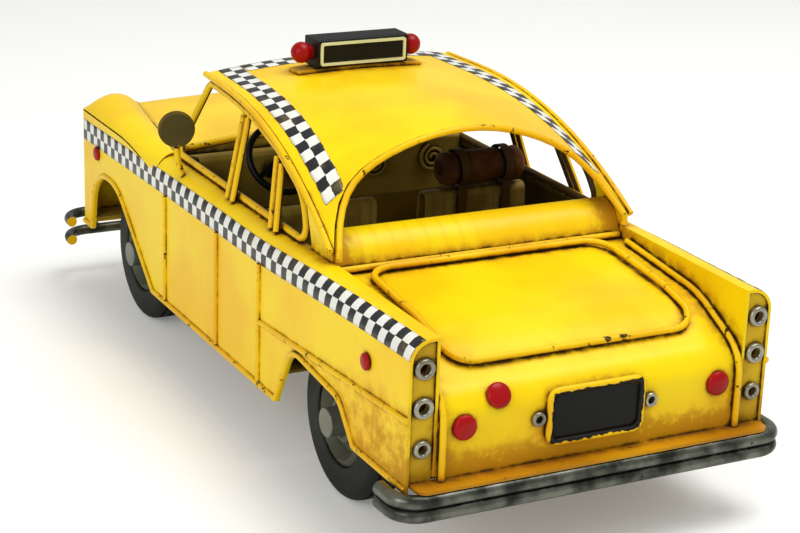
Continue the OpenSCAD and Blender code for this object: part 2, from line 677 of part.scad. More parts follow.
// Closing plates set into the ends of the tail fins, each drilled for three eyelets
lamp_recess = 0.6;
lamp_shares = [0.882, 0.722, 0.554];
lamp_scale_shares = [1, 1, 0.85];
eyelet_bore_share = 0.5;
eyelet_h = 1.4;
lamp_plate_x = tail_x + lamp_recess;
lamp_y_mid = side_y - fin_w / 2;
module tail_lamp_plates() {
    edge = sheet + solder_gap;
    w = fin_w - 2 * edge;
    low_z = floor_top_z + solder_gap;
    h = belt_z - edge - low_z;
    color("gold") both_sides() along_x(lamp_plate_x, lamp_plate_x + sheet) difference() {
        translate([lamp_y_mid, low_z + h / 2])
            polygon(bent_loop(box_corners(w, h), [shoulder_r - edge, 0, 0, 0]));
        for (i = [0:2]) translate([lamp_y_mid, belt_z * lamp_shares[i]])
            circle(eyelet_r * lamp_scale_shares[i] * eyelet_bore_share);
    }
}

// Riveted eyelets: the tail lamps, and the smaller pair beside the number plate
plate_z = 37.5;
plate_margin = 0.4;
plate_lamp_share = 0.7;
plate_lamp_r = eyelet_r * plate_lamp_share;
plate_lamp_y = plate_w / 2 + plate_margin + 2 * bead_r + plate_lamp_r + 2 * solder_gap;
module tail_eyelets() {
    color("silver") both_sides() {
        for (i = [0:2]) let (r = eyelet_r * lamp_scale_shares[i])
            translate([lamp_plate_x - solder_gap, lamp_y_mid, belt_z * lamp_shares[i]])
                facing_back() eyelet(r, r * eyelet_bore_share, eyelet_h);
        translate([tail_x - solder_gap, plate_lamp_y, plate_z])
            facing_back() eyelet(plate_lamp_r, plate_lamp_r * eyelet_bore_share, eyelet_h);
    }
}

// Bare number plate and the bead round it
plate_corner_r = 2;
module number_plate() {
    color("black") along_x(tail_x - solder_gap - sheet, tail_x - solder_gap)
        translate([0, plate_z]) rounded_box(plate_w, plate_h, plate_corner_r);
}
module plate_surround() {
    spread = 2 * (bead_r + plate_margin);
    loop = bent_loop(box_corners(plate_w + spread, plate_h + spread), plate_corner_r + plate_margin);
    x = tail_x - solder_gap - bead_r;
    color("gold") wire([for (p = loop) [x, p[0], plate_z + p[1]]], bead_r, [1, 0, 0], true);
}

// Red reflectors, the fuel cap on the boot's roll and the side markers
reflector_y = 36.8;
reflector_z = 38.6;
reflector_h = 1.8;
reflector_rim = 0.7;
module rear_reflectors() {
    color("firebrick") both_sides() translate([tail_x - solder_gap, reflector_y, reflector_z])
        facing_back() dome(reflector_r, reflector_h, reflector_rim);
}
fuel_cap_y = 27;
fuel_cap_tilt = 32;
module fuel_cap() {
    roll = [tail_x + boot_roll_r, boot_line[len(boot_line) - 2][1]];
    out = boot_roll_r + 2 * solder_gap;
    color("firebrick") translate([roll[0], fuel_cap_y, roll[1]]) rotate([0, fuel_cap_tilt, 0])
        facing_back() translate([0, 0, out]) dome(reflector_r, reflector_h, reflector_rim);
}
marker_nose_inset = 14;
marker_tail_inset = 22.2;
marker_z = 49.6;
marker_r = 2.2;
marker_h = 1.2;
module side_markers() {
    color("firebrick") both_sides() for (x = [nose_x - marker_nose_inset, tail_x + marker_tail_inset])
        translate([x, side_y + solder_gap, marker_z]) rotate([-90, 0, 0])
            dome(marker_r, marker_h, marker_h / 2);
}

// Ledge over the rear bumper
valance_inset = 1;
valance_half = side_y - valance_inset;
module rear_valance() {
    back = tail_x - rear_bumper_reach - bumper_bar_r / 2;
    front = tail_x - solder_gap;
    color("gold") translate([0, 0, valance_z]) linear_extrude(sheet)
        polygon(bent_loop([[front, valance_half], [back, valance_half],
            [back, -valance_half], [front, -valance_half]], [0, (front - back) / 2, (front - back) / 2, 0]));
}

// Roof sign: strap on the roof, black box, pale panes and red end lamps
sign_share = 0.5589;
sign_x = station(sign_share);
strap_reach = 5.5;
strap_edge = 1;
module sign_bracket() {
    half = sign_l / 2 + strap_reach;
    grid = [for (x = [sign_x + strap_edge, sign_x + sign_d / 2, sign_x + sign_d - strap_edge])
        [for (k = [-6:6]) roof_at(x, half * k / 6) + [0, 0, sheet + 1.5 * solder_gap]]];
    color("gold") curved_sheet(grid, raised(grid, -sheet));
}
sign_z = roof_z + roof_crown + sheet + 3 * solder_gap;
sign_bevel = 0.8;
module sign_box() {
    color("black") along_y(-sign_l / 2, sign_l / 2) translate([sign_x + sign_d / 2, sign_z + sign_h / 2])
        polygon(bent_loop(box_corners(sign_d, sign_h), sign_bevel));
}
pane_margin = 0.8;
pane_t = 0.5;
module sign_panes() {
    w = sign_l - 2 * pane_margin;
    h = sign_h - 2 * pane_margin;
    color("beige") for (x = [sign_x - solder_gap - pane_t, sign_x + sign_d + solder_gap])
        along_x(x, x + pane_t) translate([0, sign_z + sign_h / 2]) difference() {
            rounded_box(w, h, sign_bevel);
            rounded_box(w - 2 * pane_margin, h - 2 * pane_margin, pane_margin / 2);
        }
}
lamp_neck_share = 0.7;
module sign_lamps() {
    neck = sign_lamp_r * lamp_neck_share;
    color("firebrick") both_sides()
        translate([sign_x + sign_d / 2, sign_l / 2 + solder_gap, sign_z + sign_h / 2])
        rotate([-90, 0, 0]) union() {
            cylinder(r = neck, h = sign_lamp_r);
            translate([0, 0, sign_lamp_r]) intersection() {
                sphere(sign_lamp_r);
                translate([-sign_lamp_r, -sign_lamp_r, -neck]) cube(2 * sign_lamp_r);
            }
        }
}

// Door mirror: a round head on a bent stem that stands on the shoulder
mirror_share = 0.6689;
mirror_z = 75.5;
mirror_in = 0.1;
mirror_y = side_y - mirror_in;
mirror_t = 1.6;
mirror_turn = 14;
stem_r = 1;
stem_elbow_shares = [0.7, 0.4];
module mirror_head() {
    color("olive") translate([station(mirror_share), mirror_y, mirror_z])
        rotate([0, 0, -mirror_turn]) facing_back() union() {
            cylinder(r = mirror_r - mirror_t / 4, h = mirror_t);
            translate([0, 0, -mirror_t]) dome_back(mirror_r, mirror_t);
        }
}
module dome_back(r, h) {
    mirror([0, 0, 1]) translate([0, 0, -h]) dome(r, h, h / 2);
}
module mirror_stem() {
    top = mirror_z - mirror_r - solder_gap;
    foot_y = side_y - shoulder_r * (1 - cos(45));
    foot_z = belt_z - shoulder_r * (1 - sin(45)) + stem_r + solder_gap;
    x = station(mirror_share);
    elbow = [x, mix(foot_y, mirror_y, stem_elbow_shares[0]), mix(foot_z, top, stem_elbow_shares[1])];
    color("gold") wire([[x, foot_y, foot_z], elbow, [x, mirror_y, top]], stem_r, [1, 0, 0]);
}

// Dashboard and toe board in one bent sheet, from the windscreen down to the floor.
// A bulkhead fills the crowned gap between its top and the rod at the windscreen's foot.
dash_back = 14.5;
dash_rise = 3;
dash_lip = 1.2;
dash_face_h = 18;
dash_rake = 1.5;
dash_bend_r = 1;
toe_run = 12;
dash_x = cowl_x - dash_back;
dash_top_z = belt_z + dash_rise;
module dashboard() {
    face_low = [dash_x - dash_lip + dash_rake, dash_top_z - dash_face_h];
    line = bent([[cowl_x - dash_lip, belt_z], [dash_x, dash_top_z],
        [dash_x - dash_lip, dash_top_z - dash_lip], face_low,
        [face_low[0] + toe_run, floor_top_z + sheet]], dash_bend_r);
    half = fin_y - solder_gap;
    crest = [for (k = [-6:6]) let (y = half * k / 6) [y, bonnet_z(cowl_x, y) - solder_gap]];
    color("darkkhaki") union() {
        along_y(-half, half) polygon(strip(line, sheet));
        along_x(cowl_x - dash_lip - sheet, cowl_x - dash_lip)
            polygon(concat([[-half, belt_z]], crest, [[half, belt_z]]));
    }
}

// Wire scrolls soldered to the dashboard as gauges
scroll_wire_r = 0.6;
scroll_eye = 0.8;
scroll_r = 4.4;
scroll_turns = 2.2;
scroll_rings = 40;
scroll_places = [-34, -14];
scroll_drop = 7.2;
module dash_scrolls() {
    x = dash_x - dash_lip - scroll_wire_r - solder_gap;
    z = dash_top_z - scroll_drop;
    color("darkkhaki") for (y = scroll_places)
        wire([for (k = [0:scroll_rings])
            let (s = k / scroll_rings, p = around(mix(scroll_eye, scroll_r, s), 360 * scroll_turns * s))
            [x, y + p[0], z + p[1]]], scroll_wire_r, [1, 0, 0]);
}

// Steering wheel on its shaft, turning in a tube that stands out of the dashboard
steering_y = 22;
steering_tilt = 35;
column_l = 11;
column_r = 1.9;
shaft_r = 1;
shaft_play = 0.05;
steering_rim_r = 1;
steering_hub_r = 2.4;
steering_hub_h = 1.8;
steering_drop = 6.2;
spoke_w = 1.6;
spoke_t = 0.9;
spokes = 3;
module on_column() {
    translate([dash_x - dash_lip - column_r * sin(steering_tilt), steering_y, dash_top_z - steering_drop])
        rotate([0, steering_tilt - 90, 0]) children();
}
module steering_column() {
    color("darkslategray") on_column() difference() {
        cylinder(r = column_r, h = column_l);
        translate([0, 0, column_r]) cylinder(r = shaft_r + shaft_play, h = column_l);
    }
}
module steering_wheel() {
    hub_z = column_l + 2 * solder_gap;
    color("black") on_column() union() {
        translate([0, 0, 2 * column_r]) cylinder(r = shaft_r, h = hub_z - 2 * column_r + steering_hub_h);
        translate([0, 0, hub_z]) cylinder(r = steering_hub_r, h = steering_hub_h);
        translate([0, 0, hub_z + steering_hub_h / 2]) {
            rotate_extrude() translate([steering_r, 0]) circle(steering_rim_r);
            for (k = [0:spokes - 1]) rotate([0, 0, 360 * k / spokes])
                translate([0, -spoke_w / 2, -spoke_t / 2]) cube([steering_r, spoke_w, spoke_t]);
        }
    }
}

// Seats: sheets folded over into a cushion and a back, open at both ends.
// The line runs from the front foot over the cushion and the back to the rear foot.
seat_back_share = 0.3884;
seat_back_x = station(seat_back_share);
seat_cushion_l = 27;
seat_cushion_z = 41;
seat_back_t = 5;
seat_rake = 3;
seat_bend_r = 2.2;
seat_inner_y = 8;
function seat_line(back_x, cushion_l, cushion_z, top_z) = let (foot_z = floor_top_z + solder_gap) bent([
    [back_x + cushion_l - seat_rake, foot_z],
    [back_x + cushion_l, cushion_z],
    [back_x + seat_back_t, cushion_z - seat_rake],
    [back_x + seat_back_t / 2, top_z],
    [back_x - seat_back_t / 2, top_z],
    [back_x - seat_back_t / 2 - sheet, foot_z]], seat_bend_r);
module front_seat(y) {
    color("tan") along_y(y, y + seat_w)
        polygon(strip(seat_line(seat_back_x, seat_cushion_l, seat_cushion_z, seat_top_z), sheet));
}
module driver_seat() { front_seat(seat_inner_y); }
module passenger_seat() { front_seat(-seat_inner_y - seat_w); }
bench_share = 0.1989;
bench_x = station(bench_share);
bench_cushion_l = 19;
bench_cushion_z = 40;
bench_top_drop = 5;
bench_half_inset = 2;
module rear_seat() {
    half = fin_y - bench_half_inset;
    top_z = seat_top_z - bench_top_drop;
    color("tan") along_y(-half, half)
        polygon(strip(seat_line(bench_x, bench_cushion_l, bench_cushion_z, top_z), sheet));
}

// Bed roll across the top of the passenger's seat back, held by two straps.
// Its side swells between the straps and is drawn in under them.
strap_share = 0.27;
roll_strap_t = 0.6;
roll_strap_w = 2.6;
roll_swell = 0.7;
roll_end_share = 0.6;
roll_steps = 28;
roll_shift = 2;
roll_y = -seat_inner_y - seat_w / 2 - roll_shift;
roll_z = seat_top_z + roll_r + roll_strap_t + solder_gap;
function swell(s) = let (d = abs(abs(s) - strap_share) / (roll_strap_w / roll_l))
    roll_swell * (1 - clamp(d));
function roll_radius(s) = let (e = clamp((abs(s) - (1 - roll_end_share / 4) / 2) / (roll_end_share / 8)))
    (roll_r - swell(s)) * mix(1, roll_end_share, 1 - sqrt(1 - e * e));
module bed_roll() {
    side = [for (k = [0:roll_steps]) let (s = k / roll_steps - 1 / 2) [roll_radius(s), s * roll_l]];
    color("saddlebrown") translate([seat_back_x, roll_y, roll_z]) rotate([-90, 0, 0]) rotate_extrude()
        polygon(concat([[0, -roll_l / 2]], side, [[0, roll_l / 2]]));
}
strap_hang = 18;
module roll_straps() {
    inner = roll_r + solder_gap;
    outer = roll_r + roll_strap_t;
    back = seat_back_t / 2 + sheet + solder_gap;
    drop = outer - sqrt(pow(outer, 2) - pow(back + roll_strap_t, 2));
    color("sienna") for (s = [-strap_share, strap_share])
        translate([seat_back_x, roll_y + s * roll_l, roll_z]) union() {
        rotate([90, 0, 0]) translate([0, 0, -roll_strap_w / 2]) difference() {
            cylinder(r = outer, h = roll_strap_w);
            translate([0, 0, -overrun]) cylinder(r = inner, h = roll_strap_w + 2 * overrun);
        }
        translate([-back - roll_strap_t, -roll_strap_w / 2, -outer - strap_hang])
            cube([roll_strap_t, roll_strap_w, strap_hang + drop]);
    }
}

// Axle brackets: bent straps under the floor, with a bored ear at each end
ear_y = 24;
ear_t = 1.2;
ear_w = 8;
bracket_w = 14;
axle_play = 0.05;
axle_r = axle_d / 2;
module axle_brackets() {
    top_z = floor_z - solder_gap;
    color("darkslategray") for (x = [rear_axle_x, front_axle_x]) difference() {
        union() {
            translate([x - bracket_w / 2, -ear_y - ear_t, top_z - ear_t])
                cube([bracket_w, 2 * (ear_y + ear_t), ear_t]);
            both_sides() translate([x, ear_y, 0]) {
                translate([-ear_w / 2, 0, axle_z]) cube([ear_w, ear_t, top_z - axle_z]);
                translate([0, ear_t, axle_z]) rotate([90, 0, 0]) cylinder(d = ear_w, h = ear_t);
            }
        }
        translate([x, side_y, axle_z]) rotate([90, 0, 0]) cylinder(r = axle_r + axle_play, h = body_w);
    }
}

// Wheels: steel axle, rubber tyres, dished rims with a hub sleeve, and flat hub caps
cap_l = 4.6;
cap_wall = 0.8;
tyre_shoulder_r = 3;
tyre_bead_r = 0.8;
tread_w = 0.7;
tread_depth = 0.6;
tread_shares = [-0.25, 0, 0.25];
rim_t = 1;
dish_depth = 3;
ring_share = 0.55;
dish_share = 0.7;
flange_share = 0.84;
sleeve_r = 3;
sleeve_gap = 0.4;
press_gap = 0.02;
cap_low = tyre_w / 2 - rim_t + solder_gap;
module on_axle(x) { translate([x, 0, axle_z]) children(); }
module wheel_pair(x) { on_axle(x) both_sides() translate([0, track / 2, 0]) rotate([-90, 0, 0]) children(); }
module axle(x) {
    half = track / 2 + cap_low + cap_l - cap_wall - press_gap;
    color("slategray") on_axle(x) translate([0, half, 0]) rotate([90, 0, 0])
        cylinder(r = axle_r, h = 2 * half);
}
module tyres(x) {
    color("dimgray") wheel_pair(x) rotate_extrude() difference() {
        polygon(bent_loop([[rim_r, tyre_w / 2], [rim_r, -tyre_w / 2],
            [tyre_r, -tyre_w / 2], [tyre_r, tyre_w / 2]],
            [tyre_bead_r, tyre_bead_r, tyre_shoulder_r, tyre_shoulder_r]));
        for (s = tread_shares) translate([tyre_r - tread_depth, s * tyre_w - tread_w / 2])
            square([tread_depth + overrun, tread_w]);
    }
}
module rims(x) {
    face = tyre_w / 2;
    barrel = rim_r - solder_gap;
    line = [[barrel, -face], [barrel, face - rim_t], [rim_r * flange_share, face],
        [rim_r * dish_share, face - dish_depth], [rim_r * ring_share, face - dish_depth],
        [rim_r * ring_share - rim_t, face - rim_t], [axle_r + press_gap, face - rim_t]];
    sleeve_l = track / 2 - ear_y - ear_t - sleeve_gap;
    color("gray") wheel_pair(x) difference() {
        union() {
            rotate_extrude() polygon(strip(line, rim_t));
            translate([0, 0, -sleeve_l]) cylinder(r = sleeve_r, h = sleeve_l + face - rim_t);
        }
        translate([0, 0, -track]) cylinder(r = axle_r + press_gap, h = 2 * track);
    }
}
module hub_caps(x) {
    high = cap_low + cap_l;
    bore = axle_r + press_gap;
    color("silver") wheel_pair(x) rotate_extrude() polygon(bent([
        [bore, cap_low], [hub_cap_r, cap_low], [hub_cap_r, high], [0, high],
        [0, high - cap_wall], [bore, high - cap_wall]], [0, 0, tyre_bead_r / 2, 0, 0, 0]));
}
module front_axle() { axle(front_axle_x); }
module front_tyres() { tyres(front_axle_x); }
module front_rims() { rims(front_axle_x); }
module front_hub_caps() { hub_caps(front_axle_x); }
module rear_axle() { axle(rear_axle_x); }
module rear_tyres() { tyres(rear_axle_x); }
module rear_rims() { rims(rear_axle_x); }
module rear_hub_caps() { hub_caps(rear_axle_x); }

floor_pan();
side_panel_left();
side_panel_right();
edge_beads();
door_beads();
bonnet();
fender_left();
fender_right();
bonnet_seam_wires();
nose_panel();
grille();
headlamp_bezels();
headlamp_lenses();
front_bumper();
bumper_brackets();
dashboard();
dash_scrolls();
windscreen_rails();
roof();
roof_gutters();
window_frame_left();
window_frame_right();
window_posts();
quarter_panels();
rear_window_bead();
rear_cowl();
boot_panel();
boot_lid_bead();
boot_edge_beads();
tail_lamp_plates();
tail_eyelets();
number_plate();
plate_surround();
rear_reflectors();
fuel_cap();
side_markers();
rear_valance();
rear_bumper();
sign_bracket();
sign_box();
sign_panes();
sign_lamps();
mirror_head();
mirror_stem();
steering_column();
steering_wheel();
driver_seat();
passenger_seat();
rear_seat();
bed_roll();
roll_straps();
axle_brackets();
front_axle();
front_tyres();
front_rims();
front_hub_caps();
rear_axle();
rear_tyres();
rear_rims();
rear_hub_caps();
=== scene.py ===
"""Toy taxi of folded tin sheet: the finish of every piece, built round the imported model, in metres."""

import functools
import json
import math

import bmesh
import bpy
from mathutils import Matrix, Vector, noise
from mathutils.bvhtree import BVHTree


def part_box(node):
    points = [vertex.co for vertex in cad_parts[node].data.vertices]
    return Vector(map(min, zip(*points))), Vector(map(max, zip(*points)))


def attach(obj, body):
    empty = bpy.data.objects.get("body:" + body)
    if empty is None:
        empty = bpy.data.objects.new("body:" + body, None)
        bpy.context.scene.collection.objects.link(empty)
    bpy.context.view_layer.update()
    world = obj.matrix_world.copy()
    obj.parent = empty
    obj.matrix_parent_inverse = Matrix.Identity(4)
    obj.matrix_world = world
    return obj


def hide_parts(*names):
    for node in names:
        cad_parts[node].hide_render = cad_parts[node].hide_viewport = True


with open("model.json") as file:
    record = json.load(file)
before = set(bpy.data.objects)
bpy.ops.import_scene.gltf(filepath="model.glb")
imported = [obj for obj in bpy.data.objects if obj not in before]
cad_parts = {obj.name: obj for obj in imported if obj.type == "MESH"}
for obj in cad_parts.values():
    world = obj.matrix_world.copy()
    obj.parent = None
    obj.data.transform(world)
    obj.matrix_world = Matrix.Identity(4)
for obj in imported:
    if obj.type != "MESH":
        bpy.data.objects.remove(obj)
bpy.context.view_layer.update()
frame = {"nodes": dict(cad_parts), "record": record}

# Floor sheet and axle brackets: a plain tin floor, brushed with dark olive enamel, and two bent steel
# straps soldered under it. All the tin of the toy is painted by hand, so the paint is cloudy and small
# flakes have come off, and along every seam it is browned by dirt and by painted shade.
MM = 0.001
riders = {node: body for body, nodes in frame["record"]["behaviour"]["bodies"].items() for node in nodes}


def rgb(red, green, blue):
    """Linear colour of a paint, from its 0 to 255 numbers on a colour chart."""
    chart = [value / 255 for value in (red, green, blue)]
    return [value / 12.92 if value < 0.04045 else ((value + 0.055) / 1.055) ** 2.4 for value in chart] + [1.0]


def put(tree, kind, values=(), **settings):
    """Adds a shader node; values set or feed its inputs, by name or by number."""
    made = tree.nodes.new("ShaderNode" + kind)
    for key, value in settings.items():
        setattr(made, key, value)
    for key, value in dict(values).items():
        if isinstance(value, bpy.types.NodeSocket):
            tree.links.new(value, made.inputs[key])
        else:
            made.inputs[key].default_value = value
    return made


def mixed(tree, mask, under, over):
    """Colour that goes from under to over as the mask goes from 0 to 1."""
    return put(tree, "Mix", {0: mask, 6: under, 7: over}, data_type="RGBA").outputs[2]


def ramp(tree, value, low, high, start=0.0, end=1.0):
    """Smooth step of a value, from start at low to end at high."""
    limits = {"Value": value, "From Min": low, "From Max": high, "To Min": start, "To Max": end}
    return put(tree, "MapRange", limits, interpolation_type="SMOOTHSTEP").outputs[0]


def reckon(tree, operation, first, second=0.0):
    """One sum on two values."""
    return put(tree, "Math", {0: first, 1: second}, operation=operation).outputs[0]


def cloud_of(tree, place, scale, detail=3.0, roughness=0.5):
    """Noise with about scale blotches to the metre."""
    values = {"Vector": place, "Scale": scale, "Detail": detail, "Roughness": roughness}
    return put(tree, "TexNoise", values).outputs[0]


def effect(name, inputs, outputs):
    """Empty shader group with named sockets; returns the group, its inputs and its outputs."""
    group = bpy.data.node_groups.new(name, "ShaderNodeTree")
    for label, kind in inputs.items():
        group.interface.new_socket(label, in_out="INPUT", socket_type="NodeSocket" + kind)
    for label in outputs:
        group.interface.new_socket(label, in_out="OUTPUT", socket_type="NodeSocketFloat")
    given = group.nodes.new("NodeGroupInput").outputs
    result = group.nodes.new("NodeGroupOutput").inputs
    return group, given, result


# Grime and painted shade where a surface is closed in, both set by ambient occlusion: an orange wash far
# round, and a dark line in tight seams
seam_grime_and_shade, given, result = effect(
    "grime_and_shade_in_seams",
    {"Place": "Vector", "Openness": "Float", "Tightness": "Float", "ExtraBrown": "Float", "Grain": "Float"},
    ["Film", "CrustAndShade"])
patches = cloud_of(seam_grime_and_shade, given["Place"], given["Grain"], 5.0, 0.65)
uneven = ramp(seam_grime_and_shade, patches, 0.3, 0.7, 0.5, 1.4)
closed = reckon(seam_grime_and_shade, "SUBTRACT", 1.0, given["Openness"])
grime_and_shade = reckon(seam_grime_and_shade, "MULTIPLY", reckon(seam_grime_and_shade, "ADD", closed, given["ExtraBrown"]), uneven)
seam_grime_and_shade.links.new(ramp(seam_grime_and_shade, grime_and_shade, 0.05, 0.48, 0.0, 0.8), result["Film"])
narrow = reckon(seam_grime_and_shade, "SUBTRACT", 1.0, given["Tightness"])
packed_grime_and_shade = reckon(seam_grime_and_shade, "MULTIPLY", narrow, uneven)
seam_grime_and_shade.links.new(ramp(seam_grime_and_shade, packed_grime_and_shade, 0.21, 0.54, 0.0, 0.94), result["CrustAndShade"])

# Age of a brushed coat: cloudy tone, flaked spots and the fine unevenness of the brush
paint_age, given, result = effect(
    "age_of_paint", {"Place": "Vector", "Broad": "Float", "Flake": "Float", "Bare": "Float"},
    ["Cloud", "Chips", "Height"])
broad = cloud_of(paint_age, given["Place"], given["Broad"])
flakes = cloud_of(paint_age, given["Place"], given["Flake"], 7.0, 0.7)
firm = reckon(paint_age, "ADD", given["Bare"], 0.03)
chips = put(paint_age, "MapRange", {"Value": flakes, "From Min": given["Bare"], "From Max": firm})
streaks = put(paint_age, "Mapping", {"Vector": given["Place"], "Scale": (0.35, 1.0, 1.0)}).outputs[0]
paint_age.links.new(ramp(paint_age, broad, 0.32, 0.68), result["Cloud"])
paint_age.links.new(chips.outputs[0], result["Chips"])
paint_age.links.new(cloud_of(paint_age, streaks, 700.0, 4.0, 0.6), result["Height"])


def painted_tin(name, coat, deep, film_and_shade, crust_and_shade, bare=0.75, gloss=0.3, reach=2.4, metallic=0.0, broad=32.0,
                extra_brown=None, over=None, flutes=0.0):
    """Enamel on tin: cloudy coat, flakes down to the primer, and along the seams an orange wash and a dark
    line that are grime and painted shade. soil gives a mask of further places browned and darkened the same
    way, over gives a mask and a colour that lies on top, and flutes is the pitch in mm of faint ribs across
    the car."""
    material = bpy.data.materials.new(name)
    material.use_nodes = True
    tree = material.node_tree
    shader = tree.nodes["Principled BSDF"]
    place = put(tree, "TexCoord").outputs["Object"]
    wide = put(tree, "AmbientOcclusion", {"Distance": reach * MM}, samples=12).outputs["AO"]
    tight = put(tree, "AmbientOcclusion", {"Distance": min(reach, 1.5) * MM}, samples=12).outputs["AO"]
    age = put(tree, "Group", {}, node_tree=paint_age)
    tree.links.new(place, age.inputs["Place"])
    age.inputs["Broad"].default_value = broad
    age.inputs["Flake"].default_value = 330.0
    age.inputs["Bare"].default_value = bare
    seams = put(tree, "Group", {}, node_tree=seam_grime_and_shade)
    tree.links.new(place, seams.inputs["Place"])
    tree.links.new(wide, seams.inputs["Openness"])
    tree.links.new(tight, seams.inputs["Tightness"])
    seams.inputs["Grain"].default_value = 260.0
    if extra_brown:
        tree.links.new(extra_brown(tree, place), seams.inputs["ExtraBrown"])
    tone = mixed(tree, age.outputs["Cloud"], coat, deep)
    height = age.outputs["Height"]
    if flutes:
        pitch = math.tau / (20 * flutes * MM)
        bands = {"Vector": place, "Scale": pitch, "Distortion": 1.2, "Detail": 1.0, "Detail Scale": 0.6}
        ribs = put(tree, "TexWave", bands, bands_direction="Y").outputs["Fac"]
        # Painted shade in the troughs of the ribs
        tone = mixed(tree, ramp(tree, ribs, 0.35, 0.0, 0.0, 0.5), tone, deep)
        height = reckon(tree, "ADD", height, ribs)
    # Grime and painted shade: a brown wash where ambient occlusion finds the surface closed in, a dark line
    # in tight seams
    tone = mixed(tree, seams.outputs["Film"], tone, film_and_shade)
    tone = mixed(tree, seams.outputs["CrustAndShade"], tone, crust_and_shade)
    tone = mixed(tree, age.outputs["Chips"], tone, crust_and_shade)
    if over:
        mask, colour = over(tree, place)
        tone = mixed(tree, mask, tone, colour)
    tree.links.new(tone, shader.inputs["Base Color"])
    matt = reckon(tree, "MAXIMUM", seams.outputs["Film"], age.outputs["Chips"])
    tree.links.new(ramp(tree, matt, 0.0, 1.0, gloss, gloss + 0.35), shader.inputs["Roughness"])
    shader.inputs["Metallic"].default_value = metallic
    shader.inputs["Specular IOR Level"].default_value = 0.17
    beaten = {"Strength": 0.22, "Distance": 0.5 * MM, "Height": cloud_of(tree, place, 42.0, 1.5)}
    dents = put(tree, "Bump", beaten).outputs[0]
    relief = {"Strength": 0.25, "Distance": 0.05 * MM, "Height": height, "Normal": dents}
    tree.links.new(put(tree, "Bump", relief).outputs[0], shader.inputs["Normal"])
    return material


def dressed(node, material, inner=None, faces_in=None, crease=38, cut_x=None):
    """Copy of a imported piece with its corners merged, shaded smooth between edges sharper than crease, in
    degrees. Faces for which faces_in is true get the inner material, and faces are split at cut_x first.
    It stands for the node."""
    shape = bmesh.new()
    shape.from_mesh(frame["nodes"][node].data)
    bmesh.ops.remove_doubles(shape, verts=shape.verts, dist=0.002 * MM)
    bmesh.ops.dissolve_degenerate(shape, edges=shape.edges, dist=0.001 * MM)
    if cut_x is not None:
        everything = shape.verts[:] + shape.edges[:] + shape.faces[:]
        bmesh.ops.bisect_plane(shape, geom=everything, dist=0.001 * MM,
                               plane_co=(cut_x, 0, 0), plane_no=(1, 0, 0))
    limit = math.radians(crease)
    for line in shape.edges:
        if len(line.link_faces) == 2 and line.calc_face_angle(0.0) > limit:
            line.smooth = False
    for face in shape.faces:
        face.smooth = True
        if faces_in:
            face.material_index = int(faces_in(face.normal, face.calc_center_median()))
    mesh = bpy.data.meshes.new(node + "_dressed")
    shape.to_mesh(mesh)
    shape.free()
    mesh.materials.append(material)
    if inner:
        mesh.materials.append(inner)
    piece = bpy.data.objects.new(node + "_dressed", mesh)
    bpy.context.scene.collection.objects.link(piece)
    even = piece.modifiers.new("even_shading", "WEIGHTED_NORMAL")
    even.keep_sharp = True
    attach(piece, riders[node])
    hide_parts(node)
    return piece


olive = painted_tin("olive_enamel", rgb(168, 142, 56), rgb(128, 102, 34), rgb(70, 50, 14), rgb(26, 18, 8),
                    bare=0.7, gloss=0.5)
bare_steel = painted_tin("bare_steel", rgb(120, 120, 116), rgb(92, 90, 86), rgb(70, 56, 40), rgb(30, 24, 18),
                         bare=0.72, gloss=0.4, metallic=0.9)
dressed("floor_pan", olive)
dressed("axle_brackets", bare_steel)

# Wheelsets: a steel axle with two rubber tyres on grey pressed rims, and a thick steel cap on each hub.
# The tyres are dull charcoal, dusty round the side wall and in the tread.
tyre_rubber = painted_tin("tyre_rubber", rgb(48, 50, 45), rgb(34, 36, 32), rgb(60, 56, 46), rgb(16, 16, 14),
                          bare=0.8, gloss=0.62, reach=1.6)
wheel_grey = painted_tin("wheel_grey", rgb(98, 99, 84), rgb(74, 75, 62), rgb(56, 52, 38), rgb(26, 24, 18),
                         bare=0.74, gloss=0.42, reach=2.0, metallic=0.35)
cap_steel = painted_tin("hub_cap_steel", rgb(132, 134, 122), rgb(104, 106, 94), rgb(72, 66, 50),
                        rgb(36, 32, 26), bare=0.74, gloss=0.38, reach=1.2, metallic=0.6)
for axle in ("front", "rear"):
    dressed(axle + "_axle", bare_steel)
    dressed(axle + "_tyres", tyre_rubber)
    dressed(axle + "_rims", wheel_grey)
    dressed(axle + "_hub_caps", cap_steel)

# Body sides: one tin sheet a side, with wheel arches, a rolled shoulder and the inner wall of the tail fin.
# Outside it is taxi yellow, browned along every bead by grime and painted shade; inside it is brushed with
# the brown of the cabin.
COAT = rgb(253, 219, 14)
SHADE = rgb(247, 197, 10)
FILM_AND_SHADE = rgb(186, 124, 14)
CRUST_AND_SHADE = rgb(52, 32, 8)
tail_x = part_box("boot_panel")[0].x


def wing_foot(tree, place):
    """Mask of the lower rear corner of each side, browned and darkened there as painted shade."""
    parts = put(tree, "SeparateXYZ", {0: place}).outputs
    low = ramp(tree, parts["Z"], 60 * MM, 22 * MM, 0.0, 0.4)
    return reckon(tree, "MULTIPLY", low, ramp(tree, parts["X"], tail_x + 70 * MM, tail_x + 10 * MM))


yellow = painted_tin("taxi_yellow", COAT, SHADE, FILM_AND_SHADE, CRUST_AND_SHADE, bare=0.78, gloss=0.3, reach=8.0,
                     extra_brown=wing_foot)
cabin_brown = painted_tin("cabin_brown", rgb(92, 70, 26), rgb(66, 48, 16), rgb(40, 28, 10), rgb(18, 12, 6),
                          bare=0.72, gloss=0.45)
cabin_back_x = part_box("rear_cowl")[0].x
inner_skin_y = 51.5 * MM


def inward(normal, middle):
    """How far a face on either side of the car turns to the middle, from -1 to 1."""
    return -math.copysign(1, middle.y) * normal.y


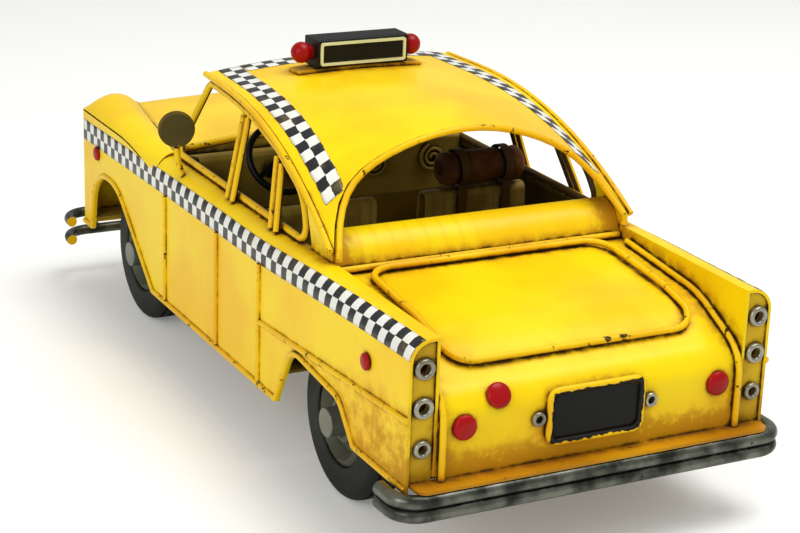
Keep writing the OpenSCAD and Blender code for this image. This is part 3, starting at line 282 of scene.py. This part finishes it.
def in_cabin(normal, middle):
    """True for a face of a side sheet that looks into the cabin."""
    return inward(normal, middle) > 0.3 and abs(middle.y) < inner_skin_y and middle.x > cabin_back_x


for hand in ("left", "right"):
    dressed("side_panel_" + hand, yellow, cabin_brown, in_cabin, cut_x=cabin_back_x)

# Beads: half-round wire soldered along the lower edge, down the doors and along the rear wings.
# The paint is thinner on the wire, so it is more golden; grime and painted shade brown both sides of it.
BEAD_COLOURS = (rgb(248, 204, 16), rgb(236, 180, 12), rgb(168, 102, 12), CRUST_AND_SHADE)
bead_gold = painted_tin("bead_gold", *BEAD_COLOURS, bare=0.61, gloss=0.3, reach=2.8)
dressed("edge_beads", bead_gold, crease=60)
dressed("door_beads", bead_gold, crease=60)

# Front: a low bonnet between two domed fenders, with a wire in each seam, rolled down to the nose sheet.
# The nose has a plated grille, two lamps in plated bezels, and a bumper of two bars on bent straps.
rivet_steel = painted_tin("rivet_steel", rgb(168, 166, 150), rgb(120, 116, 100), rgb(84, 70, 40),
                          rgb(34, 28, 18), bare=0.72, gloss=0.3, reach=1.2, metallic=0.75)
lamp_cream = painted_tin("lamp_cream", rgb(222, 220, 190), rgb(206, 202, 168), rgb(150, 136, 86),
                         rgb(60, 50, 26), bare=0.76, gloss=0.2, reach=1.2)
dark_plate = painted_tin("dark_plating", rgb(116, 118, 106), rgb(46, 50, 43), rgb(30, 28, 22),
                         rgb(14, 14, 12), bare=0.64, gloss=0.3, reach=2.0, metallic=0.75, broad=140.0)
for panel in ("bonnet", "fender_left", "fender_right", "nose_panel"):
    dressed(panel, yellow)
dressed("bonnet_seam_wires", bead_gold, crease=60)
dressed("grille", rivet_steel)
dressed("headlamp_bezels", rivet_steel)
dressed("headlamp_lenses", lamp_cream)


def bar_end(normal, middle):
    """True for the cut end of a front bumper bar, where the yellow of the body shows."""
    return normal.x < -0.9 and abs(middle.y) > 50 * MM


dressed("front_bumper", dark_plate, bead_gold, bar_end)
dressed("bumper_brackets", bead_gold)

# Dashboard and steering: one bent olive sheet with two wire scrolls soldered on as gauges, and a black
# steering wheel whose shaft turns in a short tube.
black = painted_tin("black_enamel", rgb(20, 20, 19), rgb(12, 12, 11), rgb(28, 25, 18), rgb(90, 74, 40),
                    bare=0.74, gloss=0.45, reach=1.0)
dressed("dashboard", olive)
dressed("dash_scrolls", olive, crease=60)
dressed("steering_column", black)
dressed("steering_wheel", black)

# Seats: tin folded over into a cushion and a back that are open at both ends. They are brushed tan, with
# faint ribs side by side across the car that have painted shade in their troughs, and they are darker
# where the folds close in, from grime and painted shade.
tan = painted_tin("seat_tan", rgb(176, 150, 66), rgb(132, 106, 40), rgb(76, 54, 16), rgb(30, 20, 8),
                  bare=0.68, gloss=0.5, broad=90.0, flutes=3.4)
for seat in ("driver_seat", "passenger_seat", "rear_seat"):
    dressed(seat, tan)

# Bed roll: brown leather rolled up on top of the passenger's seat back, drawn in by two straps. The leather
# is creased, its free edge stands out along the back, and the layers show at both ends.
leather = painted_tin("roll_leather", rgb(124, 74, 28), rgb(84, 48, 16), rgb(48, 28, 10), rgb(20, 12, 4),
                      bare=0.72, gloss=0.55, reach=1.6, broad=120.0)
strap_leather = painted_tin("strap_leather", rgb(116, 86, 38), rgb(84, 58, 22), rgb(46, 30, 10),
                            rgb(20, 12, 4), bare=0.72, gloss=0.55, reach=1.2)
roll_low, roll_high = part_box("bed_roll")
roll_middle = (roll_low + roll_high) / 2
roll_half = (roll_high.y - roll_low.y) / 2
roll_radius = (roll_high.z - roll_low.z) / 2
strap_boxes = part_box("roll_straps")
strap_reach = (strap_boxes[1].y - strap_boxes[0].y) / 2 - 1.3 * MM


def roll_ring(share, turn):
    """Place on the bed roll: drawn in at the straps, rounded at its ends, creased, with the free edge of the
    leather standing out a little along its back."""
    strap_pull, strap_depth, flap_depth, crease_depth = 2.6 * MM, 0.55 * MM, 0.4 * MM, 0.2 * MM
    y = share * roll_half
    drawn = max(0.0, 1 - abs(abs(y) - strap_reach) / strap_pull)
    rounded = max(0.0, (abs(share) - 0.86) / 0.14)
    radius = roll_radius * (0.955 - 0.5 * (1 - math.sqrt(max(0.0, 1 - rounded * rounded))))
    radius -= strap_depth * drawn * drawn * (3 - 2 * drawn)
    flap = (turn / math.tau + 0.16) % 1.0
    radius -= flap_depth * flap ** 3
    crease = noise.noise(Vector((share * 7, math.cos(turn) * 2.4, math.sin(turn) * 2.4)))
    radius += crease_depth * min(0.8, crease)
    return Vector((radius * math.cos(turn), y, radius * math.sin(turn))) + roll_middle


roll_steps = 60
roll_sides = 64
end_layers = 9
roll_shape = bmesh.new()
rings = []
for k in range(roll_steps + 1):
    ring = []
    for j in range(roll_sides):
        ring.append(roll_shape.verts.new(roll_ring(2 * k / roll_steps - 1, math.tau * j / roll_sides)))
    rings.append(ring)
for near, far in zip(rings, rings[1:]):
    for j in range(roll_sides):
        roll_shape.faces.new((near[j], near[j - 1], far[j - 1], far[j]))
for ring, out in ((rings[0], -1), (rings[-1], 1)):
    # The end shows the rolled layers: rings that step in and out towards the middle
    border = ring
    for k in range(1, end_layers):
        inner = []
        for vertex in ring:
            spot = vertex.co.lerp(Vector((roll_middle.x, vertex.co.y, roll_middle.z)), k / end_layers)
            spot.y -= out * 0.35 * MM * (k % 2)
            inner.append(roll_shape.verts.new(spot))
        for j in range(roll_sides):
            quad = (border[j - 1], border[j], inner[j], inner[j - 1])
            roll_shape.faces.new(quad if out < 0 else quad[::-1])
        border = inner
    roll_shape.faces.new(border if out > 0 else border[::-1])
bmesh.ops.recalc_face_normals(roll_shape, faces=roll_shape.faces)
for face in roll_shape.faces:
    face.smooth = True
roll_mesh = bpy.data.meshes.new("bed_roll_leather")
roll_shape.to_mesh(roll_mesh)
roll_shape.free()
roll_mesh.materials.append(leather)
bed_roll = bpy.data.objects.new("bed_roll_leather", roll_mesh)
bpy.context.scene.collection.objects.link(bed_roll)
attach(bed_roll, "body")
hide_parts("bed_roll")
dressed("roll_straps", strap_leather)

# Cabin: rods bent round the side windows, twin posts, sheet pillars behind, and the arched roof sheet with
# its gutters. Towards the cabin the rods are brushed brown.
def rod_in(normal, middle):
    """True where a rod of a side window looks into the car."""
    return inward(normal, middle) > 0.25


def post_in(normal, middle):
    """True where a window post looks into the car."""
    return normal.y * middle.y < -0.01


def under_roof(normal, middle):
    """True for the underside of the roof."""
    return normal.z < -0.2


dressed("window_frame_left", bead_gold, cabin_brown, rod_in, crease=60)
dressed("window_frame_right", bead_gold, cabin_brown, rod_in, crease=60)
dressed("window_posts", bead_gold, cabin_brown, post_in)
dressed("windscreen_rails", bead_gold, crease=60)
dressed("quarter_panels", yellow)
dressed("roof", yellow, cabin_brown, under_roof)
dressed("roof_gutters", bead_gold, crease=60)
dressed("rear_window_bead", bead_gold, crease=60)


def cowl_ends(tree, place):
    """Mask of the two ends of the cowl, which are browner and darker."""
    across = put(tree, "SeparateXYZ", {0: place}).outputs["Y"]
    return ramp(tree, reckon(tree, "ABSOLUTE", across), 30 * MM, 44 * MM, 0.0, 0.4)


cowl_yellow = painted_tin("cowl_yellow", COAT, SHADE, FILM_AND_SHADE, CRUST_AND_SHADE, bare=0.76, gloss=0.32, reach=6.0,
                          extra_brown=cowl_ends, flutes=5.0)
dressed("rear_cowl", cowl_yellow)

# Boot and tail: deck and tail in one bent sheet, with a bead round the lid and beads beside the fins.
# The ends of the fins are closed by recessed plates with riveted eyelets for lamps.
def tail_foot(tree, place):
    """Mask of the foot of the tail, browner and darker towards the bottom."""
    height = put(tree, "SeparateXYZ", {0: place}).outputs["Z"]
    return ramp(tree, height, 40 * MM, 20 * MM, 0.0, 0.5)


tail_yellow = painted_tin("tail_yellow", COAT, SHADE, FILM_AND_SHADE, CRUST_AND_SHADE, bare=0.78, gloss=0.3, reach=8.0,
                          extra_brown=tail_foot)
plate_yellow = painted_tin("fin_plate_yellow", rgb(226, 184, 20), rgb(196, 156, 22), rgb(140, 104, 16), CRUST_AND_SHADE,
                           bare=0.7, gloss=0.4, reach=5.0)
dressed("boot_panel", tail_yellow)
dressed("boot_lid_bead", bead_gold, crease=60)
dressed("boot_edge_beads", bead_gold, crease=60)
fin_plates = dressed("tail_lamp_plates", plate_yellow)
plate_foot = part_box("tail_lamp_plates")[0].z
ledge_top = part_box("rear_valance")[1].z
for vertex in fin_plates.data.vertices:
    # The plates reach down to the ledge
    if vertex.co.z < plate_foot + 0.1 * MM:
        vertex.co.z = min(plate_foot, ledge_top)
dressed("tail_eyelets", rivet_steel)
ledge_gold = painted_tin("ledge_gold", rgb(206, 146, 12), rgb(176, 116, 12), rgb(120, 72, 10), CRUST_AND_SHADE,
                         bare=0.66, gloss=0.35, reach=5.0)
ledge = dressed("rear_valance", ledge_gold)
ledge_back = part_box("rear_valance")[1].x
plate_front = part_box("tail_lamp_plates")[0].x
for vertex in ledge.data.vertices:
    # The ledge is soldered to the plates
    if vertex.co.x > ledge_back - 0.1 * MM:
        vertex.co.x = plate_front + 0.1 * MM
dressed("rear_bumper", dark_plate)

# Number plate: a bare black plate inside a bead on the tail. The black was brushed on by hand and runs
# over the inside of the bead.
def plate_paint(tree, place):
    """Mask and colour of the plate's black paint, which was brushed unevenly over the inside of the bead."""
    parts = put(tree, "SeparateXYZ", {0: place}).outputs
    low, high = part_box("number_plate")
    middle = (low + high) / 2
    reach = (high - low) / 2
    aside = reckon(tree, "ABSOLUTE", reckon(tree, "SUBTRACT", parts["Y"], middle.y))
    above = reckon(tree, "ABSOLUTE", reckon(tree, "SUBTRACT", parts["Z"], middle.z))
    past = reckon(tree, "MAXIMUM", reckon(tree, "SUBTRACT", aside, reach.y),
                  reckon(tree, "SUBTRACT", above, reach.z))
    ragged = reckon(tree, "MULTIPLY", cloud_of(tree, place, 420.0, 4.0, 0.6), 2.6 * MM)
    return ramp(tree, reckon(tree, "SUBTRACT", past, ragged), 0.0, -0.15 * MM), rgb(26, 26, 24)


dressed("number_plate", black)
plate_bead = painted_tin("plate_bead", *BEAD_COLOURS, bare=0.68, gloss=0.32, reach=2.2, over=plate_paint)
dressed("plate_surround", plate_bead, crease=60)

# Red fittings: two domed reflectors and the fuel cap on the tail, and a marker near each end of each side.
# They are dipped in red enamel, and grime and painted shade darken them round the foot.
red = painted_tin("red_enamel", rgb(168, 14, 18), rgb(140, 10, 14), rgb(86, 12, 10), rgb(44, 8, 6),
                  bare=0.76, gloss=0.24, reach=0.8)
for fitting in ("rear_reflectors", "fuel_cap", "side_markers"):
    dressed(fitting, red)

# Checked bands: two rows of black and white squares, printed on thin tape that is glued along both shoulders,
# down both sides of the roof and across its front edge. The tape has yellowed; grime and painted shade darken
# its edges.
SQUARE = 3.35 * MM
ROWS = 2
TAPE = 0.1 * MM


def check_tape(name):
    """Printed squares counted along the tape's own map, with slightly wavy edges, fading, and grime and
    painted shade at the edges.
    """
    material = bpy.data.materials.new(name)
    material.use_nodes = True
    tree = material.node_tree
    shader = tree.nodes["Principled BSDF"]
    place = put(tree, "TexCoord").outputs["Object"]
    along = put(tree, "UVMap", uv_map="tape").outputs[0]
    waves = put(tree, "TexNoise", {"Vector": place, "Scale": 900.0, "Detail": 2.0}).outputs["Color"]
    shake = put(tree, "VectorMath", {0: waves, 1: (0.5, 0.5, 0.5)}, operation="SUBTRACT").outputs[0]
    small = put(tree, "VectorMath", {0: shake, "Scale": 0.12}, operation="SCALE").outputs[0]
    wavy = put(tree, "VectorMath", {0: along, 1: small}, operation="ADD").outputs[0]
    one_layer = put(tree, "VectorMath", {0: wavy, 1: (0.0, 0.0, 0.5)}, operation="ADD").outputs[0]
    white_black = {"Vector": one_layer, "Color1": rgb(236, 236, 226), "Color2": rgb(24, 24, 26), "Scale": 1.0}
    print_of = put(tree, "TexChecker", white_black).outputs[0]
    open_air = put(tree, "AmbientOcclusion", {"Distance": 1.6 * MM}, samples=12).outputs["AO"]
    seams = put(tree, "Group", {}, node_tree=seam_grime_and_shade)
    tree.links.new(place, seams.inputs["Place"])
    tree.links.new(open_air, seams.inputs["Openness"])
    tree.links.new(open_air, seams.inputs["Tightness"])
    seams.inputs["Grain"].default_value = 300.0
    stain = ramp(tree, cloud_of(tree, place, 90.0, 4.0, 0.6), 0.56, 0.84, 0.0, 0.3)
    tone = mixed(tree, stain, print_of, rgb(196, 172, 96))
    # Grime and painted shade where the tape meets the tin, from ambient occlusion
    tone = mixed(tree, seams.outputs["Film"], tone, rgb(150, 116, 48))
    tone = mixed(tree, seams.outputs["CrustAndShade"], tone, rgb(46, 32, 12))
    tree.links.new(tone, shader.inputs["Base Color"])
    tree.links.new(ramp(tree, stain, 0.0, 0.45, 0.32, 0.55), shader.inputs["Roughness"])
    return material


tape_print = check_tape("check_tape")


def surface_of(*nodes):
    """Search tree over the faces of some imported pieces."""
    shape = bmesh.new()
    for node in nodes:
        shape.from_mesh(frame["nodes"][node].data)
    found = BVHTree.FromBMesh(shape)
    shape.free()
    return found


def walk(section, reach):
    """Point that lies a given length along a list of points."""
    for here, there in zip(section, section[1:]):
        step = (there - here).length
        if reach <= step:
            return here.lerp(there, reach / step)
        reach -= step
    return section[-1]


def lay_tape(name, squares, spot, outward):
    """Strip of tape: a flat grid whose points are laid on the tin by spot, as shares along and across, with
    its squares counted in a map of its own and its thickness behind its face."""
    shape = bmesh.new()
    bmesh.ops.create_grid(shape, x_segments=squares * 2, y_segments=ROWS * 3, size=0.5)
    layer = shape.loops.layers.uv.new("tape")
    for face in shape.faces:
        face.smooth = True
        for corner in face.loops:
            flat = corner.vert.co
            corner[layer].uv = ((flat.x + 0.5) * squares, (flat.y + 0.5) * ROWS)
    for vertex in shape.verts:
        vertex.co = spot(vertex.co.x + 0.5, vertex.co.y + 0.5)
    shape.normal_update()
    if sum(face.normal.dot(outward) for face in shape.faces) < 0:
        bmesh.ops.reverse_faces(shape, faces=shape.faces)
    shape.normal_update()
    for vertex in shape.verts:
        vertex.co += vertex.normal * (TAPE + 0.03 * MM)
    bmesh.ops.solidify(shape, geom=shape.faces[:], thickness=TAPE)
    mesh = bpy.data.meshes.new(name)
    shape.to_mesh(mesh)
    shape.free()
    mesh.materials.append(tape_print)
    piece = bpy.data.objects.new(name, mesh)
    bpy.context.scene.collection.objects.link(piece)
    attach(piece, "body")


def between(table, x):
    """Value at x on a line through (x, value) pairs that run from the nose to the tail."""
    for (x0, v0), (x1, v1) in zip(table, table[1:]):
        if x >= x1 * MM:
            return (v0 + (v1 - v0) * (x0 * MM - x) / ((x0 - x1) * MM)) * MM
    return table[-1][1] * MM


# Height of the side band's lower edge, read along the car from the nose to the tail
side_band_edge = [(112.5, 51.3), (38, 52.8), (-3, 53.4), (-33, 53.6), (-76, 56.0), (-121.5, 57.4)]
shoulder_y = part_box("side_panel_left")[1].y - 6.0 * MM
shoulder_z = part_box("window_frame_left")[0].z - 6.1 * MM
band_front_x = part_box("side_panel_left")[1].x - 0.6 * MM
band_rear_x = tail_x + 0.4 * MM
side_squares = round((band_front_x - band_rear_x) / SQUARE)
both_sides = ((1, "left"), (-1, "right"))
side_tin = {side: surface_of("side_panel_" + hand, "fender_" + hand) for side, hand in both_sides}
clear_of_car = 80 * MM
clear_of_shoulder = 30 * MM
above_roof = 150 * MM


@functools.cache
def side_section(side, x):
    """Points up the side and over the shoulder at x, from the band's lower edge, found by rays."""
    low = between(side_band_edge, x)
    found = []
    flat_steps = 12
    for k in range(flat_steps + 1):
        height = low + (shoulder_z - low) * k / flat_steps
        if low < shoulder_z or k == flat_steps:
            start = Vector((x, side * clear_of_car, height))
            found.append(side_tin[side].ray_cast(start, Vector((0, -side, 0)))[0])
    for degrees in range(3, 91, 3):
        lean = math.radians(degrees)
        out = Vector((0, side * math.cos(lean), math.sin(lean)))
        middle = Vector((x, side * shoulder_y, shoulder_z))
        found.append(side_tin[side].ray_cast(middle + out * clear_of_shoulder, -out)[0])
    found = [point for point in found if point]
    return [point for point in found if point.z >= low - 0.01 * MM] or found


for side, hand in both_sides:
    def on_side(along, across, side=side):
        """Place on the side band; the tape bridges the fender's seam, so places nearby are averaged."""
        sum_of = Vector()
        steps = range(-4, 5)
        for step in steps:
            share = min(1.0, max(0.0, along + step / (2 * side_squares)))
            x = band_front_x + (band_rear_x - band_front_x) * share
            sum_of += walk(side_section(side, round(x, 7)), across * ROWS * SQUARE)
        x = band_front_x + (band_rear_x - band_front_x) * along
        return Vector((x, sum_of.y / len(steps), sum_of.z / len(steps)))

    lay_tape("side_band_" + hand, side_squares, on_side, Vector((0, side, 0.2)))

roof_tin = surface_of("roof")
roof_low, roof_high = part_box("roof")
roof_band_inset = 2.6 * MM
roof_step = 0.25 * MM
roof_front_x = roof_high.x - 0.5 * MM


def roof_section(x, side):
    """Points on the roof at x, from its side edge towards the middle, up to the rear window's arch."""
    found = []
    for k in range(110):
        y = side * (roof_high.y - roof_step * k)
        point = roof_tin.ray_cast(Vector((x, y, above_roof)), Vector((0, 0, -1)))[0]
        if found and not point:
            return found
        if point:
            found.append(point)
    return found


def room_at(x):
    """Width of roof sheet beside the rear window at x."""
    section = roof_section(x, 1)
    return sum((there - here).length for here, there in zip(section, section[1:]))


# The bands end where the whole of their width still lies on the sheet
roof_rear_x = -30 * MM
while roof_rear_x > roof_low.x and room_at(roof_rear_x) > roof_band_inset + ROWS * SQUARE + 0.2 * MM:
    roof_rear_x -= 0.5 * MM
roof_rear_x += 0.5 * MM
roof_squares = round((roof_front_x - roof_rear_x) / (1.2 * SQUARE))

for side, hand in both_sides:
    def on_roof_side(along, across, side=side):
        """Place on the band down one side of the roof."""
        x = roof_front_x + (roof_rear_x - roof_front_x) * along
        return walk(roof_section(x, side), roof_band_inset + across * ROWS * SQUARE)

    lay_tape("roof_band_" + hand, roof_squares, on_roof_side, Vector((0, 0, 1)))

front_half = walk(roof_section(roof_front_x, 1), roof_band_inset + ROWS * SQUARE).y - 0.1 * MM
front_squares = round(2 * front_half / SQUARE)


def on_roof_front(along, across):
    """Place on the band across the roof's front edge."""
    spot = Vector((roof_front_x - across * ROWS * SQUARE, front_half * (1 - 2 * along), above_roof))
    return roof_tin.ray_cast(spot, Vector((0, 0, -1)))[0]


lay_tape("roof_band_front", front_squares, on_roof_front, Vector((0, 0, 1)))

# Roof sign: a black box on a yellow strap across the roof, with a pale frame before and behind and a red
# lamp at each end. Its panes are bare.
pale = painted_tin("pale_enamel", rgb(226, 230, 186), rgb(208, 212, 162), rgb(140, 138, 82), rgb(40, 36, 18),
                   bare=0.74, gloss=0.35, reach=0.8)
dressed("sign_bracket", yellow)
dressed("sign_box", black)
dressed("sign_panes", pale)
dressed("sign_lamps", red)

# Door mirror: a round bronze-coloured head on a bent yellow stem that stands on the left shoulder.
# Yellow paint shows where the bronze has rubbed off.
bronze = painted_tin("mirror_bronze", rgb(86, 76, 34), rgb(62, 54, 22), rgb(120, 84, 16), rgb(170, 130, 26),
                     bare=0.63, gloss=0.4, reach=1.0, metallic=0.3)
dressed("mirror_head", bronze)
dressed("mirror_stem", bead_gold, crease=60)

# Camera: behind the car on the driver's side and above it, with the car's nose pointing away to the left.
# It is turned a little about its own line of sight.
camera_place = Vector((-510.62, 260.47, 231.60)) * MM
camera_turn = -0.484499
camera_dip = 0.328734
camera_roll = 0.0355032
photo_focus_px = 2036.33
photo_width_px = 800
sight = Vector((math.cos(camera_dip) * math.cos(camera_turn),
                math.cos(camera_dip) * math.sin(camera_turn), -math.sin(camera_dip)))
level = sight.cross(Vector((0, 0, 1))).normalized()
upright = level.cross(sight)
across = math.cos(camera_roll) * level + math.sin(camera_roll) * upright
upward = math.cos(camera_roll) * upright - math.sin(camera_roll) * level
lens = bpy.data.cameras.new("camera")
lens.sensor_width = 36.0
lens.lens = photo_focus_px * lens.sensor_width / photo_width_px
lens.clip_start = 0.01
camera = bpy.data.objects.new("camera", lens)
turn = Matrix((across, upward, -sight)).transposed().to_4x4()
camera.matrix_world = Matrix.Translation(camera_place) @ turn
bpy.context.scene.collection.objects.link(camera)
bpy.context.scene.camera = camera

# Studio: a pale floor that keeps the car's shadow, an even white sky, and two soft lamps, one above the car
# and one off to the driver's side, a little behind.
floor_shape = bmesh.new()
bmesh.ops.create_grid(floor_shape, x_segments=1, y_segments=1, size=6.0)
floor_mesh = bpy.data.meshes.new("studio_floor")
floor_shape.to_mesh(floor_mesh)
floor_shape.free()
floor = bpy.data.objects.new("studio_floor", floor_mesh)
bpy.context.scene.collection.objects.link(floor)
white_cloth = bpy.data.materials.new("white_cloth")
white_cloth.use_nodes = True
cloth = white_cloth.node_tree
cloth_shader = cloth.nodes["Principled BSDF"]
cloth_shader.inputs["Base Color"].default_value = rgb(244, 244, 240)
cloth_shader.inputs["Roughness"].default_value = 0.9
seen = put(cloth, "LightPath").outputs["Is Camera Ray"]
cloth_shader.inputs["Emission Color"].default_value = (1.0, 1.0, 0.97, 1.0)
cloth.links.new(reckon(cloth, "MULTIPLY", seen, 0.16), cloth_shader.inputs["Emission Strength"])
floor_mesh.materials.append(white_cloth)
world = bpy.data.worlds.new("studio_sky")
bpy.context.scene.world = world
world.use_nodes = True
world.node_tree.nodes["Background"].inputs["Color"].default_value = (1.0, 1.0, 1.0, 1.0)
sky = world.node_tree
sky_seen = put(sky, "LightPath").outputs["Is Camera Ray"]
strength = put(sky, "MapRange", {"Value": sky_seen, "To Min": 0.46, "To Max": 1.0}).outputs[0]
sky.links.new(strength, sky.nodes["Background"].inputs["Strength"])


def soft_lamp(name, place, aim, size, power):
    """Square soft lamp at a place, turned to a point."""
    light = bpy.data.lights.new(name, "AREA")
    light.energy = power
    light.size = size
    lamp = bpy.data.objects.new(name, light)
    lamp.location = place
    lamp.rotation_euler = (Vector(aim) - Vector(place)).to_track_quat("-Z", "Y").to_euler()
    bpy.context.scene.collection.objects.link(lamp)


soft_lamp("over_the_car", place=(-0.15, -0.25, 0.9), aim=(0, 0, 0.05), size=0.6, power=6.2)
soft_lamp("behind_the_driver", place=(-0.42, 0.86, 0.5), aim=(0, 0, 0.05), size=0.6, power=3.4)
bpy.context.scene.view_settings.view_transform = "Standard"
